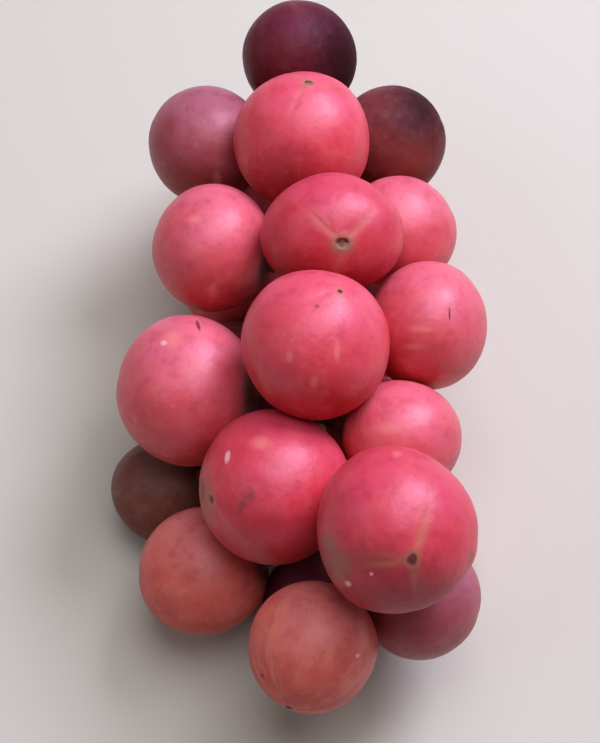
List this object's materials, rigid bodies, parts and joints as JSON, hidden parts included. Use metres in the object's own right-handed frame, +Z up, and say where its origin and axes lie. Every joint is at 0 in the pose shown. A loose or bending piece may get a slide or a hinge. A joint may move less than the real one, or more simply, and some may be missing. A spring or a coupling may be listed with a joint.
{
  "type": "bunch of burmese grapes",
  "caption": "Picked bunch of burmese grapes lying on its back: round rose-red fruits packed round a woody stalk, each held by a short stem.",
  "frame": {"origin": "on the surface the bunch lies on, under the middle of its bounding box", "axes": "+Y along the bunch towards the stalk's cut end, +Z up from the surface, +X to the right seen from above with +Y ahead"},
  "size_m": [0.0872, 0.1812, 0.0784],
  "materials": {
    "rose_skin": "smooth leathery rind with a soft waxy sheen, rose red with tan seams, scars and freckles",
    "dusky_skin": "smooth leathery rind with a soft waxy sheen, dusky maroon to brown",
    "stalk_bark": "rough green-brown bark, pale where it was cut"
  },
  "bodies": {
    "root": {"fruit_01": "dusky_skin", "fruit_02": "dusky_skin", "fruit_03": "rose_skin", "fruit_04": "dusky_skin", "fruit_05": "rose_skin", "fruit_06": "rose_skin", "fruit_07": "rose_skin", "fruit_08": "rose_skin", "fruit_09": "rose_skin", "fruit_10": "rose_skin", "fruit_11": "rose_skin", "fruit_12": "rose_skin", "fruit_13": "rose_skin", "fruit_14": "dusky_skin", "fruit_15": "rose_skin", "fruit_16": "rose_skin", "fruit_17": "rose_skin", "fruit_18": "rose_skin", "fruit_19": "rose_skin", "fruit_20": "rose_skin", "fruit_21": "rose_skin", "fruit_22": "rose_skin", "fruit_23": "dusky_skin", "fruit_24": "rose_skin", "fruit_25": "dusky_skin", "fruit_26": "rose_skin", "fruit_27": "dusky_skin", "stalk": "stalk_bark"}
  },
  "joints": []
}
